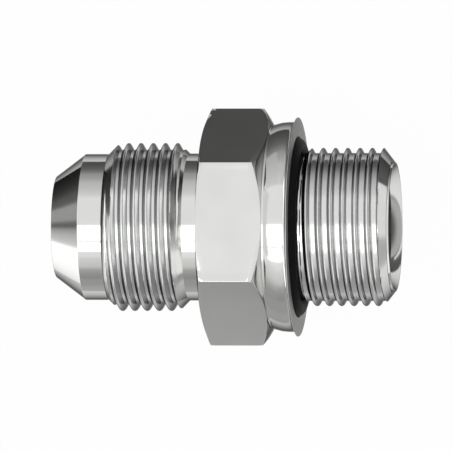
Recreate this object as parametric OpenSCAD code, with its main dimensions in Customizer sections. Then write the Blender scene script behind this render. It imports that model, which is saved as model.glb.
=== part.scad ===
// Straight tube union: a 37 degree flare end, a hexagon and a parallel-thread stud end
// with a seal ring captured in the flange. Millimetres.
// The fitting's axis is X and runs towards the stud end; X = 0 is the flange's sealing face.
// Two of the hexagon's flats are square to Z.

/* [Bore] */
// diameter of the straight flow bore
bore_d = 12.3; // [9:0.1:12.5]
// how much the bore's radius grows in the stud's end
stud_bore_step = 0.85; // [0.4:0.05:1]
// depth of that wider bore from the stud's end face, up to its drill cone
stud_bore_depth = 9.5; // [3:0.1:12]
// diameter of the countersunk mouth on the stud's end face
mouth_d = 16.6; // [15:0.1:16.8]
// half angle of the countersink
mouth_half_angle = 45; // [30:1:60]

/* [Flare nose] */
// half angle of the flare cone
flare_half_angle = 37; // [30:0.5:45]
// diameter of the nose's flat tip
nose_tip_d = 13.36; // [13.2:0.02:14.5]
// radius that breaks the tip's outer edge
nose_edge_r = 0.3; // [0.05:0.01:0.3]
// diameter of the plain nose behind the cone
nose_d = 19.2; // [18:0.1:19.8]
// length of the plain nose between cone and thread
nose_land = 3.07; // [1:0.01:6]

/* [Flare thread] */
// outside diameter of the flare end's thread
flare_thread_d = 22.1; // [21.8:0.1:23]
// radial depth of the flare end's thread
flare_thread_depth = 0.9; // [0.5:0.01:0.95]
// length from the start of the lead chamfer to the end of the run-out
flare_thread_len = 10.63; // [8:0.01:16]
// half angle between the flare thread's flanks
flare_thread_half_angle = 30; // [20:0.5:30]
// width of the flare thread's crest
flare_crest_w = 0.22; // [0.18:0.01:0.35]
// diameter of the relief between the flare thread and the hexagon
relief_d = 19.34; // [18.4:0.02:19.9]
// length of that relief
relief_len = 2.3; // [1.6:0.05:5]

/* [Hexagon] */
// width across the hexagon's flats
hex_af = 27; // [26.4:0.1:30]
// length of the hexagon
hex_len = 8.69; // [6:0.01:16]
// how much smaller the round end faces are than the flats
hex_face_inset = 0.1; // [0.05:0.05:1]
// angle of the corner chamfer on the nose side, from the end face
hex_chamfer_nose = 14; // [5:1:30]
// angle of the corner chamfer on the stud side, from the end face
hex_chamfer_stud = 30; // [15:1:45]

/* [Flange] */
// diameter of the neck between the hexagon and the flange
neck_d = 26.8; // [26:0.05:26.9]
// length of the neck
neck_len = 0.2; // [0.1:0.02:3]
// diameter of the flange's plain rim
flange_d = 27.6; // [26.6:0.1:28.2]
// thickness of the flange, from the neck to the sealing face
flange_t = 3.18; // [2.8:0.02:6]
// angle between the flange's tapered back and the axis
flange_back_angle = 20; // [16:1:60]
// diameter of the lip at the sealing face
lip_d = 28.8; // [28.4:0.1:30]
// thickness of the lip's edge
lip_land = 0.08; // [0.04:0.02:0.3]

/* [Seal ring] */
// diameter of the ring's round section
seal_section_d = 2.1; // [1.6:0.02:2.2]
// gap that the ring keeps from the stud's undercut and from the groove's floor
seal_gap = 0.01; // [0.005:0.005:0.05]
// gap between the ring and the groove's outer wall
seal_outer_gap = 0.06; // [0.02:0.01:0.4]
// depth of the seal groove behind the sealing face
seal_groove_depth = 1.27; // [0.8:0.01:1.6]

/* [Stud thread] */
// outside diameter of the stud's thread
stud_thread_d = 20.8; // [20.5:0.1:21.2]
// radial depth of the stud's thread
stud_thread_depth = 0.68; // [0.45:0.01:0.72]
// half angle between the stud thread's flanks
stud_thread_half_angle = 27.5; // [20:0.5:30]
// width of the stud thread's crest
stud_crest_w = 0.25; // [0.2:0.01:0.4]
// how far the undercut by the flange lies below the thread's root
undercut_clear = 0.06; // [0.04:0.01:0.3]
// distance from the sealing face to the end of the undercut
undercut_len = 1.15; // [0.95:0.01:1.3]
// distance from the sealing face to the small end of the end chamfer
stud_len = 12.52; // [9:0.01:18]
// diameter at the small end of the end chamfer
stud_end_d = 17.68; // [17.4:0.02:18.6]
// length of the end chamfer along the axis
end_chamfer_len = 1.2; // [0.8:0.05:1.6]
// diameter of the short spigot past the end chamfer
spigot_d = 17.1; // [17:0.02:17.4]
// length of the spigot
spigot_len = 0.28; // [0.1:0.02:2]

/* [Both threads] */
// pitch of the two right-hand threads
pitch = 1.62; // [1.58:0.01:1.7]

/* [Hidden] */

// facets of large circles and of the ring's section
round_fn = 96;
section_fn = 32;
// steps of the helix in one turn, and steps of a small arc
turn_steps = 48;
arc_steps = 6;
// how far a cutting shape stands past the surface that it cuts
over = 0.1;
// half angle of the cone that a drill leaves
drill_half_angle = 59;
// centre of the flare groove's first step, past the lead chamfer's start
flare_groove_lead = 0.12;
// centre of the stud groove's first step, past the sealing face
stud_groove_lead = 0.87;

steel = [0.72, 0.73, 0.74];
rubber = [0.07, 0.07, 0.08];

// places along the axis, from the stud's end back to the nose tip
end_x = stud_len + spigot_len;
flange_back_x = -flange_t;
hex_stud_x = flange_back_x - neck_len;
hex_nose_x = hex_stud_x - hex_len;
flare_run_x = hex_nose_x - relief_len;
flare_lead_x = flare_run_x - flare_thread_len;
cone_base_x = flare_lead_x - nose_land;
nose_x = cone_base_x - (nose_d - nose_tip_d) / 2 / tan(flare_half_angle);

// radii
nose_r = nose_d / 2;
flare_r = flare_thread_d / 2;
flare_root_r = flare_r - flare_thread_depth;
relief_r = relief_d / 2;
neck_r = neck_d / 2;
flange_r = flange_d / 2;
lip_r = lip_d / 2;
lip_hollow_r = lip_r - flange_r;
stud_r = stud_thread_d / 2;
stud_root_r = stud_r - stud_thread_depth;
undercut_r = stud_root_r - undercut_clear;
hex_corner_r = hex_af / 2 / cos(30);
hex_face_r = (hex_af - hex_face_inset) / 2;

// the seal ring lies on the undercut and on the groove's floor
seal_section_r = seal_section_d / 2;
seal_mean_r = undercut_r + seal_gap + seal_section_r;
seal_groove_r = seal_mean_r + seal_section_r + seal_outer_gap;
seal_x = seal_gap + seal_section_r - seal_groove_depth;

// the nose edge's arc touches the tip's end plane and the cone
nose_arc_turn = 90 - flare_half_angle;
nose_arc_r = nose_tip_d / 2 - nose_edge_r * tan(nose_arc_turn / 2);

// points of an arc in the profile plane, as [radius, x]
function arc(centre_r, centre_x, size, from, to) = [
    for (i = [0 : arc_steps])
        let (a = from + (to - from) * i / arc_steps)
        [centre_r + size * cos(a), centre_x + size * sin(a)]
];

// half outline of all that is turned, from the nose tip to the stud's end
turned_outline = concat(
    [[0, nose_x]],
    arc(nose_arc_r, nose_x + nose_edge_r, nose_edge_r, -90, -flare_half_angle),
    [
        [nose_r, cone_base_x],
        [nose_r, flare_lead_x],
        [flare_r, flare_lead_x + flare_r - nose_r],
        [flare_r, flare_run_x - flare_r + relief_r],
        [relief_r, flare_run_x],
        [relief_r, hex_nose_x + over],
        [neck_r, hex_nose_x + over],
        [neck_r, flange_back_x],
        [flange_r, flange_back_x + (flange_r - neck_r) / tan(flange_back_angle)]
    ],
    arc(lip_r, -lip_land - lip_hollow_r, lip_hollow_r, 180, 90),
    [
        [lip_r, 0],
        [seal_groove_r, 0],
        [seal_groove_r, -seal_groove_depth],
        [undercut_r, -seal_groove_depth],
        [undercut_r, undercut_len],
        [stud_r, undercut_len + stud_r - undercut_r],
        [stud_r, stud_len - end_chamfer_len],
        [stud_end_d / 2, stud_len],
        [spigot_d / 2, stud_len],
        [spigot_d / 2, end_x],
        [0, end_x]
    ]
);

// the corner chamfers are slightly crowned: each is part of a sphere round a centre on the axis
// that passes through the end face's circle and the chamfered corners
function crown_depth(angle) =
    let (drop = (hex_corner_r - hex_face_r) * tan(angle))
    (pow(hex_corner_r, 2) - pow(hex_face_r, 2) + pow(drop, 2)) / 2 / drop;
nose_crown_depth = crown_depth(hex_chamfer_nose);
stud_crown_depth = crown_depth(hex_chamfer_stud);

// turns an outline of [radius, x] points round the X axis
module turned(outline) {
    rotate([0, 90, 0])
        rotate_extrude($fn = round_fn)
            polygon(outline);
}

// a ball round a point of the axis, whose surface meets an end face at its circle
module crown(centre_x, depth) {
    translate([centre_x, 0, 0])
        rotate([0, 90, 0])
            sphere(r = sqrt(pow(depth, 2) + pow(hex_face_r, 2)), $fn = round_fn);
}

// FACETED: six flat sides
module hexagon() {
    intersection() {
        translate([hex_nose_x, 0, 0])
            rotate([0, 90, 0])
                rotate(30)
                    cylinder(h = hex_len, r = hex_corner_r, $fn = 6);
        crown(hex_nose_x + nose_crown_depth, nose_crown_depth);
        crown(hex_stud_x - stud_crown_depth, stud_crown_depth);
    }
}

// one section of a thread groove at step i of its right-hand helix:
// root left, root right, top right, top left
function groove_section(i, from_x, root_r, top_r, root_w, slope) =
    let (
        a = 360 * i / turn_steps,
        x = from_x + pitch * i / turn_steps,
        half_root = root_w / 2,
        half_top = half_root + (top_r - root_r) * slope
    )
    [
        [x - half_root, root_r * cos(a), root_r * sin(a)],
        [x + half_root, root_r * cos(a), root_r * sin(a)],
        [x + half_top, top_r * cos(a), top_r * sin(a)],
        [x - half_top, top_r * cos(a), top_r * sin(a)]
    ];

// FACETED: the helical groove that cuts a thread, a trapezium swept along its helix
module thread_groove(from_x, to_x, major_r, depth, half_angle, crest_w) {
    steps = round((to_x - from_x) / pitch * turn_steps);
    slope = tan(half_angle);
    root_w = pitch - crest_w - 2 * depth * slope;
    points = [
        for (i = [0 : steps])
            each groove_section(i, from_x, major_r - depth, major_r + over, root_w, slope)
    ];
    sides = [
        for (i = [0 : steps - 1], j = [0 : 3])
            let (n = (j + 1) % 4)
            each [
                [4 * i + j, 4 * i + 4 + n, 4 * i + n],
                [4 * i + j, 4 * i + 4 + j, 4 * i + 4 + n]
            ]
    ];
    polyhedron(
        points,
        concat([[0, 1, 2, 3]], sides, [[for (j = [3 : -1 : 0]) 4 * steps + j]])
    );
}

// starts in free air over the lead chamfer and ends over the middle of the relief
module flare_groove() {
    thread_groove(
        flare_lead_x + flare_groove_lead,
        (flare_run_x + hex_nose_x) / 2,
        flare_r,
        flare_thread_depth,
        flare_thread_half_angle,
        flare_crest_w
    );
}

// starts over the undercut and ends in free air past the end chamfer
module stud_groove() {
    thread_groove(
        stud_groove_lead,
        stud_len,
        stud_r,
        stud_thread_depth,
        stud_thread_half_angle,
        stud_crest_w
    );
}

// the straight bore, wider in the stud's end, and the countersunk mouth
module flow_bore() {
    bore_r = bore_d / 2;
    wide_r = bore_r + stud_bore_step;
    wide_x = end_x - stud_bore_depth;
    mouth_slope = tan(mouth_half_angle);
    turned([
        [0, nose_x - over],
        [bore_r, nose_x - over],
        [bore_r, wide_x - stud_bore_step / tan(drill_half_angle)],
        [wide_r, wide_x],
        [wide_r, end_x - (mouth_d / 2 - wide_r) / mouth_slope],
        [mouth_d / 2 + over * mouth_slope, end_x + over],
        [0, end_x + over]
    ]);
}

module body() {
    color(steel)
        difference() {
            union() {
                turned(turned_outline);
                hexagon();
            }
            flare_groove();
            stud_groove();
            flow_bore();
        }
}

module seal_ring() {
    color(rubber)
        translate([seal_x, 0, 0])
            rotate([0, 90, 0])
                rotate_extrude($fn = round_fn)
                    translate([seal_mean_r, 0])
                        circle(r = seal_section_r, $fn = section_fn);
}

body();
seal_ring();
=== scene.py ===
"""Tube union: a plated steel fitting with a flare end, a hexagon, and a stud end with a seal ring."""
import math

import bmesh
import bpy
from mathutils import Matrix, Vector


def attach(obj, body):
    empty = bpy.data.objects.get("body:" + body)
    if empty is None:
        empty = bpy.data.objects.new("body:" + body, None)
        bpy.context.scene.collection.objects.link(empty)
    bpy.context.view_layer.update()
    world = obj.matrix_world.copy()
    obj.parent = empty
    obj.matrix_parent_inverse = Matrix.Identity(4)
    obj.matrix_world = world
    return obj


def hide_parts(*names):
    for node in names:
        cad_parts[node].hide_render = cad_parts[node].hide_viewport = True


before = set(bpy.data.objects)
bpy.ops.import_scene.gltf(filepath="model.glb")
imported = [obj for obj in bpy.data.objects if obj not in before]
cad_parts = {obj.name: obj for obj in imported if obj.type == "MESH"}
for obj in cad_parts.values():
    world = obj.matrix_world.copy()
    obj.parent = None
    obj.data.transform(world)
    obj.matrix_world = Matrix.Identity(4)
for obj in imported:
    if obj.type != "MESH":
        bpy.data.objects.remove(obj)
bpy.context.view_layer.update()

MM = 0.001

# How finely the meshes are made
STEPS = 180  # steps of a full turn
RING_STEPS = 40  # steps round the seal ring's section
ARC_STEP = 22  # degrees of a rounding from one point to the next
LONGEST_SIDE = 0.16  # mm, of a thread's outline
WELD = 0.0004  # points closer than this, in mm, are one point
SHARP = 36  # degrees; a bend sharper than this is shaded as an edge

# Places along the axis and radii, in mm. The flange's sealing face is at 0 and the stud points to +X.
PITCH = 1.62
BORE_R, SEAM_X = 6.15, -20.0
TIP_X, TIP_R, NOSE_R = -31.945, 6.68, 9.6
CONE_BASE_X, FLARE_LEAD_X = -28.07, -25.0
FLARE_R, FLARE_DEPTH, FLARE_CREST, FLARE_HALF_ANGLE = 11.05, 0.9, 0.22, 30.0
FLARE_GROOVE_X, FLARE_RUN_X, RELIEF_R = -24.88, -14.37, 9.67
HEX_FLATS, HEX_NOSE_X, HEX_STUD_X, HEX_FACE_R = 27.0, -12.07, -3.38, 13.45
HEX_CHAMFER_NOSE, HEX_CHAMFER_STUD = 14.0, 30.0
NECK_R, FLANGE_BACK_X, FLANGE_FULL_X = 13.4, -3.18, -2.081
FLANGE_R, LIP_R, LIP_LAND = 13.8, 14.4, 0.08
SEAL_GROOVE_R, SEAL_GROOVE_DEPTH, UNDERCUT_R, UNDERCUT_X = 11.83, 1.27, 9.66, 1.15
STUD_R, STUD_DEPTH, STUD_CREST, STUD_HALF_ANGLE = 10.4, 0.68, 0.25, 27.5
STUD_GROOVE_X = 0.87
END_CHAMFER_X, STUD_END_X, STUD_END_R = 11.32, 12.52, 8.84
SPIGOT_R, END_X, MOUTH_R, MOUTH_X = 8.55, 12.8, 8.3, 11.5
WIDE_BORE_R, WIDE_BORE_X, DRILL_X = 7.0, 3.3, 2.789
SEAL_R, SEAL_MEAN_R, SEAL_X = 1.05, 10.72, -0.21

# Roundings of the turned edges, in mm
BORE_EDGE, TIP_EDGE, CONE_EDGE = 0.1, 0.16, 0.15
RELIEF_FILLET, NECK_STEP, NECK_FILLET, FLANGE_SWEEP = 0.2, 0.01, 0.6, 5.4
LIP_BACK_EDGE, LIP_EDGE, GROOVE_EDGE, GROOVE_FILLET = 0.03, 0.04, 0.06, 0.1
SPIGOT_FILLET, SPIGOT_EDGE, MOUTH_EDGE = 0.04, 0.06, 0.05
HEX_EDGE = 0.05
CREST_ROUNDING, ROOT_ROUNDING = 0.98, 0.3  # shares of the largest rounding that fits

# Rows of points from end to end of the hexagon: shares of a chamfer's width and of a flat's length
CROWN_ROWS = [0, 0.3, 0.6, 0.85, 0.97]
FLAT_ROWS = [0.006, 0.1, 0.5, 0.9, 0.994]

# Where one finish turns into another, in mm
FLATS_R, FLATS_X = 13.48, (-12.05, -3.4)
DRILLED_R, DRILLED_X = 6.22, -31.925
BORED_R, BORED_X = 7.02, 2.55
THREADS_R, FLARE_THREAD_X, STUD_THREAD_X = 9.05, (-24.8, -15.0), (1.3, 11.4)
FACED_R, FACED_X = 11.95, (-0.2, 0.4)

# Finishes
PLATING_DARK, PLATING_LIGHT = (0.672, 0.672, 0.658, 1), (0.75, 0.75, 0.736, 1)
THREAD_PLATING = (0.695, 0.7, 0.695, 1)
# painted shade: a dark colour for the inside of the bores, standing in for the shadow there
BORE_PAINTED_SHADE = (0.14, 0.137, 0.134, 1)
EDGE_ON_PAINTED_SHADE = (0.12, 0.12, 0.12, 1)  # painted shade: this tint darkens the metal's reflections where it is seen edge on
POLISHED, BY_CLOUD, BY_MARKS, BY_BORE, BY_FACING, BY_THREAD = 0.05, 0.04, 0.04, 0.35, 0.3, 0.09
RUBBER_DARK, RUBBER_LIGHT = (0.004, 0.004, 0.005, 1), (0.01, 0.01, 0.011, 1)

# Floor, lamps and cards
FLOOR_REACH = 3000.0  # mm
PAPER = (0.8, 0.8, 0.8, 1)
FLOOR_GLOW = 0.97  # how much of the seen floor is plain white
WORLD_LIGHT = 0.75
LAMP_X, LAMP_LENGTH, LAMP_DISTANCE = -0.65, 1.29, 1.0  # m
LAMP_RADIANCE = 1.6
LAMPS = (("softbox_inner", -24.4, -0.5), ("softbox_outer", -41.5, -27.4))  # from and to, in degrees
FAR = 500.0  # mm from the fitting to the standing cards
CARD_FOOT, CARD_TOP = -60, 400  # mm
CARD_LIFT, NOSE_CARD_LIFT = 1.5, 2.5  # mm over the floor

# The photograph's view
VIEW = (0.122, -0.0465, 0.991)  # from the fitting towards the camera
TARGET_X, TARGET_RISE = -9.6, 0.13  # mm, the middle of the picture
PICTURE_WIDTH = 59.4  # mm, at the fitting
CAMERA_DISTANCE = 2.0  # m
SENSOR = 36.0
NEAREST_SEEN, FARTHEST_SEEN = 0.1, 10.0  # m


# ---------------------------------------------------------------- outlines

def rounded(points):
    """An outline of (x, r, radius) corners with each corner turned into a small arc."""
    made = []
    last = len(points) - 1
    for i, (x, r, radius) in enumerate(points):
        here = Vector((x, r))
        if radius <= 0 or i in (0, last):
            made.append(here)
            continue
        before = (Vector(points[i - 1][:2]) - here).normalized()
        after = (Vector(points[i + 1][:2]) - here).normalized()
        half = before.angle(after) / 2
        centre = here + (before + after).normalized() * (radius / math.sin(half))
        start = here + before * (radius / math.tan(half)) - centre
        turn = start.angle_signed(here + after * (radius / math.tan(half)) - centre)
        steps = max(2, round(abs(math.degrees(turn)) / ARC_STEP))
        for k in range(steps + 1):
            made.append(centre + Matrix.Rotation(-turn * k / steps, 2) @ start)
    return made


def thread_outline(first_x, turns, major_r, depth, crest_w, half_angle):
    """A thread's outline from a crest's middle on, with round crests and roots."""
    slope = math.tan(math.radians(half_angle))
    root_w = PITCH - crest_w - 2 * depth * slope
    half_root = root_w / 2
    half_top = half_root + depth * slope
    bend = math.radians(90 - half_angle)
    crest_r = crest_w / 2 / math.tan(bend / 2) * CREST_ROUNDING
    root_r = half_root / math.tan(bend / 2) * ROOT_ROUNDING
    made = []
    for i in range(turns):
        x = first_x + i * PITCH
        middle = x + PITCH / 2
        down = rounded([
            (x, major_r, 0), (middle - half_top, major_r, crest_r),
            (middle - half_root, major_r - depth, root_r), (middle, major_r - depth, 0),
        ])
        up = [Vector((2 * middle - p.x, p.y)) for p in reversed(down)]
        made += down[:-1] + up[:-1]
    made.append(Vector((first_x + turns * PITCH, major_r)))
    return finely(made)


def finely(points):
    """The same outline with no side longer than LONGEST_SIDE."""
    made = [points[0]]
    for a, b in zip(points, points[1:]):
        parts = max(1, math.ceil((b - a).length / LONGEST_SIDE))
        made += [a.lerp(b, k / parts) for k in range(1, parts + 1)]
    return made


def turned_down(corners, x):
    """The radius that a thread's crests are turned down to at a place along the axis."""
    for (x0, r0), (x1, r1) in zip(corners, corners[1:]):
        if x <= x1:
            return r0 + (r1 - r0) * (x - x0) / (x1 - x0)
    return corners[-1][1]


# ---------------------------------------------------------------- body

def spin(bm, geometry, advance=0.0):
    """Turns an outline round the X axis; advance is how far it moves along the axis in one turn."""
    bmesh.ops.spin(
        bm, geom=geometry, cent=(0, 0, 0), axis=(1, 0, 0), dvec=(advance / STEPS, 0, 0),
        angle=math.tau, steps=STEPS, use_merge=advance == 0, use_duplicate=False,
    )


def spin_outline(bm, points, advance=0.0):
    verts = [bm.verts.new((p.x, p.y, 0.0)) for p in points]
    edges = [bm.edges.new(pair) for pair in zip(verts, verts[1:])]
    spin(bm, verts + edges, advance)


def add_shell(bm, make, *values):
    """Makes a shell in a bmesh of its own and adds it to bm."""
    part = bmesh.new()
    make(part, *values)
    mesh = bpy.data.meshes.new("shell")
    part.to_mesh(mesh)
    part.free()
    bm.from_mesh(mesh)
    bpy.data.meshes.remove(mesh)


def turned_shell(bm, corners):
    spin_outline(bm, rounded(corners))


def thread_shell(bm, corners, groove_x, major_r, depth, crest_w, half_angle):
    """A right-hand thread that fills the length and stays under the outline of the given corners."""
    start_x, end_x = corners[0][0], corners[-1][0]
    first_x = groove_x - PITCH / 2
    while first_x + PITCH > start_x:
        first_x -= PITCH
    turns = math.ceil((end_x - first_x) / PITCH)
    spin_outline(bm, thread_outline(first_x, turns, major_r, depth, crest_w, half_angle), PITCH)
    for v in bm.verts:
        r = math.hypot(v.co.y, v.co.z)
        v.co.x = min(max(v.co.x, start_x), end_x)
        share = min(r, turned_down(corners, v.co.x)) / r
        v.co.y *= share
        v.co.z *= share
    bmesh.ops.remove_doubles(bm, verts=bm.verts, dist=WELD)


def crown(end_x, inwards, angle):
    """Where a chamfered end of the hexagon lies along the axis at a radius: part of a ball."""
    corner_r = HEX_FLATS / 2 / math.cos(math.radians(30))
    drop = (corner_r - HEX_FACE_R) * math.tan(math.radians(angle))
    depth = (corner_r ** 2 - HEX_FACE_R ** 2 + drop ** 2) / 2 / drop
    ball = math.hypot(depth, HEX_FACE_R)
    return lambda r: end_x + inwards * (depth - math.sqrt(ball ** 2 - r ** 2))


def hexagon_shell(bm):
    """The hexagon's sides with the crowned chamfers at both ends."""
    rows = [("nose", t) for t in CROWN_ROWS] + [("flat", t) for t in FLAT_ROWS]
    rows += [("stud", t) for t in reversed(CROWN_ROWS)]
    spin_outline(bm, [Vector((k, HEX_FACE_R)) for k in range(len(rows))])
    nose = crown(HEX_NOSE_X, 1, HEX_CHAMFER_NOSE)
    stud = crown(HEX_STUD_X, -1, HEX_CHAMFER_STUD)
    corner_verts = set()
    for v in bm.verts:
        kind, share = rows[round(v.co.x)]
        angle = math.atan2(v.co.z, v.co.y)
        off = (math.degrees(angle) + 360) % 60 - 30
        side_r = HEX_FLATS / 2 / math.cos(math.radians(off))
        if kind == "flat":
            r = side_r
            x = nose(r) + (stud(r) - nose(r)) * share
            if abs(off) > 29.9:  # degrees from the flat's middle: a corner
                corner_verts.add(v)
        else:
            r = HEX_FACE_R + (side_r - HEX_FACE_R) * share
            x = (nose if kind == "nose" else stud)(r)
        v.co = (x, r * math.cos(angle), r * math.sin(angle))
    bmesh.ops.bevel(
        bm, geom=[e for e in bm.edges if e.verts[0] in corner_verts and e.verts[1] in corner_verts],
        offset=HEX_EDGE, offset_type="OFFSET", affect="EDGES", segments=2, profile=0.5,
        material=-1, clamp_overlap=True,
    )


def add_nose(bm):
    add_shell(bm, turned_shell, [
        (SEAM_X, BORE_R, 0), (TIP_X, BORE_R, BORE_EDGE), (TIP_X, TIP_R, TIP_EDGE),
        (CONE_BASE_X, NOSE_R, CONE_EDGE), (FLARE_LEAD_X, NOSE_R, 0),
    ])


def add_flare_thread(bm):
    lead = FLARE_R - NOSE_R
    run = FLARE_R - RELIEF_R
    add_shell(
        bm, thread_shell,
        [(FLARE_LEAD_X, NOSE_R), (FLARE_LEAD_X + lead, FLARE_R), (FLARE_RUN_X - run, FLARE_R),
         (FLARE_RUN_X, RELIEF_R)],
        FLARE_GROOVE_X, FLARE_R, FLARE_DEPTH, FLARE_CREST, FLARE_HALF_ANGLE,
    )


def add_relief(bm):
    """The plain length between the flare thread and the hexagon, and the hexagon's face."""
    add_shell(bm, turned_shell, [
        (FLARE_RUN_X, RELIEF_R, 0), (HEX_NOSE_X, RELIEF_R, RELIEF_FILLET), (HEX_NOSE_X, HEX_FACE_R, 0),
    ])


def add_flange(bm):
    """The hexagon's other face, the neck, the flange with its thin lip, and the seal's groove."""
    lip_fillet = LIP_R - FLANGE_R - LIP_EDGE
    add_shell(bm, turned_shell, [
        (HEX_STUD_X, HEX_FACE_R, 0), (HEX_STUD_X, NECK_R, NECK_STEP),
        (FLANGE_BACK_X, NECK_R, NECK_FILLET), (FLANGE_FULL_X, FLANGE_R, FLANGE_SWEEP),
        (-LIP_LAND, FLANGE_R, lip_fillet), (-LIP_LAND, LIP_R, LIP_BACK_EDGE), (0, LIP_R, LIP_EDGE),
        (0, SEAL_GROOVE_R, GROOVE_EDGE), (-SEAL_GROOVE_DEPTH, SEAL_GROOVE_R, GROOVE_FILLET),
        (-SEAL_GROOVE_DEPTH, UNDERCUT_R, GROOVE_FILLET), (UNDERCUT_X, UNDERCUT_R, 0),
    ])


def add_stud_thread(bm):
    rise = STUD_R - UNDERCUT_R
    add_shell(
        bm, thread_shell,
        [(UNDERCUT_X, UNDERCUT_R), (UNDERCUT_X + rise, STUD_R), (END_CHAMFER_X, STUD_R),
         (STUD_END_X, STUD_END_R)],
        STUD_GROOVE_X, STUD_R, STUD_DEPTH, STUD_CREST, STUD_HALF_ANGLE,
    )


def add_stud_end(bm):
    """The spigot, the countersunk mouth, the wide bore, and the drilled bore as far as the seam."""
    add_shell(bm, turned_shell, [
        (STUD_END_X, STUD_END_R, 0), (STUD_END_X, SPIGOT_R, SPIGOT_FILLET),
        (END_X, SPIGOT_R, SPIGOT_EDGE), (END_X, MOUTH_R, MOUTH_EDGE),
        (MOUTH_X, WIDE_BORE_R, MOUTH_EDGE), (WIDE_BORE_X, WIDE_BORE_R, BORE_EDGE),
        (DRILL_X, BORE_R, BORE_EDGE), (SEAM_X, BORE_R, 0),
    ])


def make_object(name, bm, material):
    """A finished mesh in metres whose faces point outwards."""
    bmesh.ops.remove_doubles(bm, verts=bm.verts, dist=WELD)
    bmesh.ops.dissolve_degenerate(bm, edges=bm.edges, dist=WELD / 10)
    bmesh.ops.recalc_face_normals(bm, faces=bm.faces)
    bmesh.ops.scale(bm, vec=(MM, MM, MM), verts=bm.verts)
    for f in bm.faces:
        f.smooth = True
    mesh = bpy.data.meshes.new(name)
    bm.to_mesh(mesh)
    bm.free()
    mesh.set_sharp_from_angle(angle=math.radians(SHARP))
    mesh.materials.append(material)
    obj = bpy.data.objects.new(name, mesh)
    bpy.context.scene.collection.objects.link(obj)
    return obj


def make_body(steel):
    """The one steel piece, as shells that meet along its length."""
    bm = bmesh.new()
    add_nose(bm)
    add_flare_thread(bm)
    add_relief(bm)
    add_shell(bm, hexagon_shell)
    add_flange(bm)
    add_stud_thread(bm)
    add_stud_end(bm)
    body = make_object("steel_body", bm, steel)
    body.modifiers.new("flat_faces_first", "WEIGHTED_NORMAL").keep_sharp = True
    return body


def make_seal_ring(rubber):
    bm = bmesh.new()
    ring = bmesh.ops.create_circle(bm, segments=RING_STEPS, radius=SEAL_R)["verts"]
    bmesh.ops.translate(bm, vec=(SEAL_X, SEAL_MEAN_R, 0), verts=ring)
    spin(bm, bm.verts[:] + bm.edges[:])
    return make_object("rubber_seal_ring", bm, rubber)


# ---------------------------------------------------------------- shader building

class Value:
    """A number in a node tree. Arithmetic on it adds Math nodes."""

    def __init__(self, nodes, socket):
        self.nodes = nodes
        self.socket = socket

    def maths(self, operation, a, b):
        return self.nodes.add("ShaderNodeMath", {"operation": operation}, {0: a, 1: b})[0]

    def __add__(self, other):
        return self.maths("ADD", self, other)

    def __sub__(self, other):
        return self.maths("SUBTRACT", self, other)

    def __rsub__(self, other):
        return self.maths("SUBTRACT", other, self)

    def __mul__(self, other):
        return self.maths("MULTIPLY", self, other)

    __radd__ = __add__
    __rmul__ = __mul__


class Outputs:
    """The outputs of a node, by name or by number."""

    def __init__(self, nodes, node):
        self.nodes = nodes
        self.node = node

    def __getitem__(self, key):
        return Value(self.nodes, self.node.outputs[key])


class Nodes:
    """Adds nodes to a material's or the world's tree."""

    def __init__(self, owner):
        owner.use_nodes = True
        self.tree = owner.node_tree
        self.tree.nodes.clear()

    def add(self, kind, settings=None, sockets=None):
        node = self.tree.nodes.new(kind)
        for key, value in (settings or {}).items():
            if key == "stops":
                self.set_stops(node.color_ramp, value)
            else:
                setattr(node, key, value)
        for key, value in (sockets or {}).items():
            if isinstance(value, Value):
                self.tree.links.new(value.socket, node.inputs[key])
            else:
                node.inputs[key].default_value = value
        return Outputs(self, node)

    @staticmethod
    def set_stops(ramp, stops):
        """Sets a ramp's stops, as (position, grey tone)."""
        ramp.elements.remove(ramp.elements[1])
        ramp.elements[0].position = stops[0][0]
        for position, _ in stops[1:]:
            ramp.elements.new(position)
        for element, (_, tone) in zip(ramp.elements, stops):
            element.color = (tone, tone, tone, 1)

    def ranged(self, value, low, high, to_low=0.0, to_high=1.0):
        return self.add(
            "ShaderNodeMapRange", {"interpolation_type": "SMOOTHSTEP"},
            {"Value": value, "From Min": low, "From Max": high, "To Min": to_low, "To Max": to_high},
        )["Result"]

    def mixed(self, factor, a, b):
        return self.add("ShaderNodeMix", {"data_type": "RGBA"}, {0: factor, 6: a, 7: b})[2]

    def noise(self, place, scale, detail):
        return self.add(
            "ShaderNodeTexNoise", None, {"Vector": place, "Scale": scale, "Detail": detail}
        )[0]

    def bumped(self, height, strength, depth):
        """The normal of a surface with fine marks, whose depth is in mm."""
        return self.add(
            "ShaderNodeBump", None, {"Strength": strength, "Distance": depth * MM, "Height": height}
        )["Normal"]


# ---------------------------------------------------------------- finishes

def past(n, value, edge, fade):
    """0 below an edge and 1 above it, with a fade across the edge, all in mm."""
    return n.ranged(value, (edge - fade / 2) * MM, (edge + fade / 2) * MM)


def short_of(n, value, edge, fade):
    """1 below an edge and 0 above it."""
    return n.ranged(value, (edge - fade / 2) * MM, (edge + fade / 2) * MM, 1.0, 0.0)


def between(n, value, edges, fade):
    """1 from one edge to the other."""
    low, high = edges
    return past(n, value, low, fade) * short_of(n, value, high, fade)


def tool_marks(n, x, y, z, radius):
    """Marks that run round the axis on all that is turned, and along it on the hexagon's flats."""
    turned_at = n.add("ShaderNodeCombineXYZ", None, {"X": x, "Y": radius})[0]
    turned = n.noise(turned_at, 9000.0, 3.0)
    drawn_at = n.add("ShaderNodeCombineXYZ", None, {"X": x * 0.02, "Y": y, "Z": z})[0]
    drawn = n.noise(drawn_at, 7000.0, 3.0)
    on_flats = past(n, radius, FLATS_R, 0.04) * between(n, x, FLATS_X, 0.1)
    return turned + on_flats * (drawn - turned)


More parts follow.
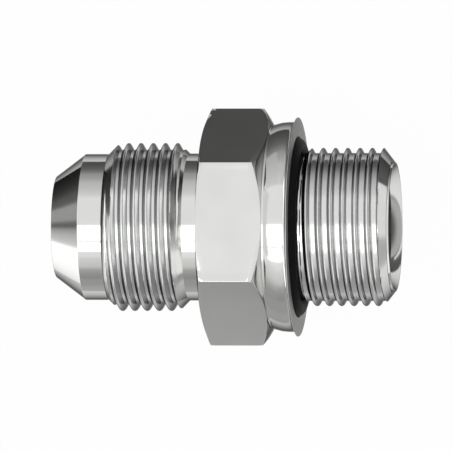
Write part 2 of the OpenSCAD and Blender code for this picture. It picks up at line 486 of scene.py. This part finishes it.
def inside_bore(n, x, radius):
    """1 on the drilled bore and on the wider bore at the stud's end, whose colour is darkened as
    painted shade and whose roughness is raised.
    """
    drilled = short_of(n, radius, DRILLED_R, 0.04) * past(n, x, DRILLED_X, 0.05)
    bored = short_of(n, radius, BORED_R, 0.04) * past(n, x, BORED_X, 0.1)
    return drilled + bored - drilled * bored


def on_threads(n, x, radius):
    lengths = between(n, x, FLARE_THREAD_X, 0.2) + between(n, x, STUD_THREAD_X, 0.2)
    return lengths * past(n, radius, THREADS_R, 0.1)


def steel_material():
    """Bright plating with tool marks; duller on the rolled threads and the faced flange; painted shade
    darkens the bores and the edge-on reflections.
    """
    material = bpy.data.materials.new("plated_steel")
    n = Nodes(material)
    place = n.add("ShaderNodeTexCoord")["Object"]
    xyz = n.add("ShaderNodeSeparateXYZ", None, {0: place})
    x, y, z = xyz["X"], xyz["Y"], xyz["Z"]
    across = n.add("ShaderNodeCombineXYZ", None, {"Y": y, "Z": z})[0]
    radius = n.add("ShaderNodeVectorMath", {"operation": "LENGTH"}, {0: across})["Value"]

    marks = tool_marks(n, x, y, z, radius)
    cloud = n.noise(place, 160.0, 2.0)
    bore = inside_bore(n, x, radius)
    threads = on_threads(n, x, radius)
    faced = between(n, x, FACED_X, 0.2) * past(n, radius, FACED_R, 0.1)

    colour = n.mixed(cloud, PLATING_DARK, PLATING_LIGHT)
    colour = n.mixed(threads, colour, THREAD_PLATING)
    # painted shade: the bores are darkened in colour
    colour = n.mixed(bore, colour, BORE_PAINTED_SHADE)
    roughness = (
        POLISHED + BY_CLOUD * cloud + BY_MARKS * marks
        + BY_BORE * bore + BY_FACING * faced + BY_THREAD * threads
    )
    # painted shade: the Specular Tint darkens the edge-on reflections
    shader = n.add(
        "ShaderNodeBsdfPrincipled", None,
        {"Base Color": colour, "Metallic": 1.0, "Roughness": roughness,
         "Normal": n.bumped(marks, 0.25, 0.004), "Specular Tint": EDGE_ON_PAINTED_SHADE},
    )[0]
    n.add("ShaderNodeOutputMaterial", None, {"Surface": shader})
    return material


def rubber_material():
    """Matt black rubber with a fine grain."""
    material = bpy.data.materials.new("seal_rubber")
    n = Nodes(material)
    place = n.add("ShaderNodeTexCoord")["Object"]
    grain = n.noise(place, 6000.0, 3.0)
    cloud = n.noise(place, 500.0, 2.0)
    shader = n.add(
        "ShaderNodeBsdfPrincipled", None,
        {"Base Color": n.mixed(cloud, RUBBER_DARK, RUBBER_LIGHT), "Roughness": 0.55 + 0.12 * cloud,
         "Specular IOR Level": 0.05, "Normal": n.bumped(grain, 0.3, 0.01)},
    )[0]
    n.add("ShaderNodeOutputMaterial", None, {"Surface": shader})
    return material


# ---------------------------------------------------------------- studio

def seen_background(n):
    """1 for the rays that show the background: camera, glossy and transmission rays."""
    path = n.add("ShaderNodeLightPath")
    return n.add(
        "ShaderNodeClamp", None,
        {"Value": path["Is Camera Ray"] + path["Is Glossy Ray"] + path["Is Transmission Ray"]},
    )[0]


def make_world():
    """A white world that gives the fitting a little less light than it shows."""
    world = bpy.data.worlds.new("white_studio")
    bpy.context.scene.world = world
    n = Nodes(world)
    strength = n.ranged(seen_background(n), 0.0, 1.0, WORLD_LIGHT, 1.0)
    light = n.add("ShaderNodeBackground", None, {"Color": (1, 1, 1, 1), "Strength": strength})[0]
    n.add("ShaderNodeOutputWorld", None, {"Surface": light})


def floor_material():
    """White paper that keeps a trace of the fitting's shadow."""
    material = bpy.data.materials.new("pale_floor")
    n = Nodes(material)
    paper = n.add("ShaderNodeBsdfDiffuse", None, {"Color": PAPER})[0]
    glow = n.add("ShaderNodeEmission", None, {"Color": (1, 1, 1, 1), "Strength": 1.0})[0]
    share = seen_background(n) * FLOOR_GLOW
    surface = n.add("ShaderNodeMixShader", None, {0: share, 1: paper, 2: glow})[0]
    n.add("ShaderNodeOutputMaterial", None, {"Surface": surface})
    return material


def floor_height(x):
    """The floor, in mm: the hexagon's lower flat and the flange's lip rest on it."""
    rise = (LIP_R - HEX_FLATS / 2) / (0 - HEX_NOSE_X)
    return -LIP_R - rise * x


def make_floor():
    bm = bmesh.new()
    bmesh.ops.create_grid(bm, x_segments=1, y_segments=1, size=FLOOR_REACH)
    for v in bm.verts:
        v.co.z = floor_height(v.co.x)
    make_object("floor", bm, floor_material())


def card_material(name, axis, stops):
    """A card's tones, as (place in mm along the axis, tone) from one edge to the other."""
    material = bpy.data.materials.new(name)
    n = Nodes(material)
    place = n.add("ShaderNodeTexCoord")["Object"]
    along = n.add("ShaderNodeSeparateXYZ", None, {0: place})[axis]
    first, last = stops[0][0], stops[-1][0]
    share = n.add(
        "ShaderNodeMapRange", None,
        {"Value": along, "From Min": first * MM, "From Max": last * MM},
    )["Result"]
    ramp = [((at - first) / (last - first), tone) for at, tone in stops]
    tone = n.add("ShaderNodeValToRGB", {"stops": ramp}, {0: share})[0]
    glow = n.add("ShaderNodeEmission", None, {"Color": tone, "Strength": 1.0})[0]
    n.add("ShaderNodeOutputMaterial", None, {"Surface": glow})
    return material


def make_card(name, corners, axis, stops):
    """A grey card beside the picture that only the metal's reflections show."""
    bm = bmesh.new()
    bm.faces.new([bm.verts.new(corner) for corner in corners])
    card = make_object(name, bm, card_material(name, axis, stops))
    card.visible_camera = False
    card.visible_diffuse = False
    card.visible_shadow = False


def lying_card(name, plan, axis, stops, lift=CARD_LIFT):
    """A card just over the floor, beside what the camera sees, given by its corners in plan."""
    make_card(name, [(x, y, floor_height(x) + lift) for x, y in plan], axis, stops)


def standing_card(name, start, end, axis, stops, foot=CARD_FOOT, top=CARD_TOP):
    """A card that stands on edge between two places in plan."""
    corners = [(*start, foot), (*end, foot), (*end, top), (*start, top)]
    make_card(name, corners, axis, stops)


def make_cards_above():
    """Cards on the +Y side, dark at the floor and light at the top."""
    lying_card(
        "card_above_low", [(-FAR, 31), (60, 31), (110, 60), (FAR, 60), (FAR, FAR), (-FAR, FAR)],
        "Y", [(31, 0.11), (45, 0.12), (70, 0.15), (150, 0.25), (500, 0.36)],
    )
    standing_card(
        "card_above", (-150, FAR), (FAR, FAR), "Z",
        [(-60, 0.34), (0, 0.38), (88, 0.47), (172, 0.64), (244, 0.68), (405, 0.82), (500, 0.95)],
        top=500,
    )
    standing_card("card_above_nose", (-FAR, FAR), (-150, FAR), "Z", [(-60, 0.5), (500, 0.8)], top=500)


def make_cards_below():
    """Cards on the -Y side, from behind the nose to the stud's end."""
    lying_card(
        "card_below_low", [(-45, -29.6), (FAR, -29.6), (FAR, -FAR), (-FAR, -FAR)],
        "Y", [(-500, 0.34), (-62, 0.42), (-38, 0.53), (-29.6, 0.6)],
    )
    standing_card(
        "card_below", (-150, -FAR), (-15, -FAR), "Z",
        [(-60, 0.34), (0, 0.34), (70, 0.39), (143, 0.48), (212, 0.75), (289, 0.8), (400, 0.9)],
    )
    standing_card("card_below_stud", (-15, -FAR), (FAR, -FAR), "Z", [(-60, 1.2), (400, 1.2)])
    standing_card(
        "card_below_nose", (-336, -336), (-150, -FAR), "Z",
        [(-60, 0.4), (75, 0.4), (144, 0.55), (213, 0.75), (400, 0.95)],
    )


def make_cards_at_nose():
    """Cards off the nose's end: a dark part, a bright window, and a bright band above."""
    standing_card(
        "card_nose", (-FAR, -191), (-FAR, FAR), "Y",
        [(-191, 1.0), (-155, 0.8), (-77, 0.61), (-27, 0.41), (0, 0.17), (24, 0.17), (60, 0.4),
         (175, 0.42), (205, 0.45), (222, 0.55), (240, 0.38), (280, 0.22), (500, 0.1)],
        top=200,
    )
    lying_card(
        "card_nose_low", [(-41, 12), (-41, 31), (-FAR, 500), (-FAR, 12)],
        "X", [(-500, 0.2), (-126, 0.12), (-65, 0.04), (-41, 0.02)], NOSE_CARD_LIFT,
    )
    lying_card(
        "card_window_low", [(-42, -14), (-FAR, -14), (-FAR, -FAR), (-46, -30)],
        "X", [(-500, 1.6), (-42, 1.5)], NOSE_CARD_LIFT,
    )
    standing_card(
        "card_window", (-FAR, -191), (-336, -336), "Z",
        [(-60, 2.0), (150, 2.0), (300, 1.1), (400, 1.0)],
    )
    standing_card(
        "card_nose_high", (-FAR, -FAR), (-FAR, FAR), "Z",
        [(200, 2.1), (395, 2.1), (425, 0.85), (700, 0.8)], foot=200, top=700,
    )


def make_cards_at_stud():
    lying_card(
        "card_stud_low", [(22, 6), (75, 6), (75, 31), (22, 31)],
        "X", [(22, 0.1), (55, 0.15), (75, 0.5)],
    )
    standing_card(
        "card_stud", (FAR, -FAR), (FAR, FAR), "Z",
        [(-60, 0.55), (30, 0.5), (110, 0.15), (200, 0.06), (330, 0.06)], top=330,
    )


def make_lamp(name, low, high):
    """A soft lamp over the fitting that fills the angles about its axis, from straight above to +Y."""
    turn = math.radians((low + high) / 2)
    width = 2 * math.tan(math.radians((high - low) / 2)) * LAMP_DISTANCE
    lamp = bpy.data.lights.new(name, "AREA")
    lamp.shape = "RECTANGLE"
    lamp.size, lamp.size_y = LAMP_LENGTH, width
    lamp.energy = LAMP_RADIANCE * math.pi * width * LAMP_LENGTH
    obj = bpy.data.objects.new(name, lamp)
    bpy.context.scene.collection.objects.link(obj)
    obj.location = (LAMP_X, math.sin(turn) * LAMP_DISTANCE, math.cos(turn) * LAMP_DISTANCE)
    obj.rotation_euler = (-turn, 0, 0)


def make_lamps():
    for name, low, high in LAMPS:
        make_lamp(name, low, high)


def make_camera():
    """A long lens from the photograph's angle, with the axis level in the picture."""
    view = Vector(VIEW).normalized()
    across = Vector((1, 0, 0))
    across = (across - view * across.dot(view)).normalized()
    up = view.cross(across)
    target = Vector((TARGET_X, 0, 0)) * MM + up * TARGET_RISE * MM
    data = bpy.data.cameras.new("camera")
    data.sensor_width = SENSOR
    data.lens = SENSOR * CAMERA_DISTANCE / (PICTURE_WIDTH * MM)
    data.clip_start, data.clip_end = NEAREST_SEEN, FARTHEST_SEEN
    camera = bpy.data.objects.new("camera", data)
    bpy.context.scene.collection.objects.link(camera)
    camera.matrix_world = Matrix.Translation(target + view * CAMERA_DISTANCE) @ Matrix(
        (across, up, view)
    ).transposed().to_4x4()
    bpy.context.scene.camera = camera


# ---------------------------------------------------------------- the scene

bpy.context.scene.view_settings.view_transform = "Standard"

steel_body = make_body(steel_material())
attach(steel_body, "root")
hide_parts("body")

seal = make_seal_ring(rubber_material())
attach(seal, "root")
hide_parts("seal_ring")

make_floor()
make_world()
make_lamps()
make_cards_above()
make_cards_below()
make_cards_at_nose()
make_cards_at_stud()
make_camera()
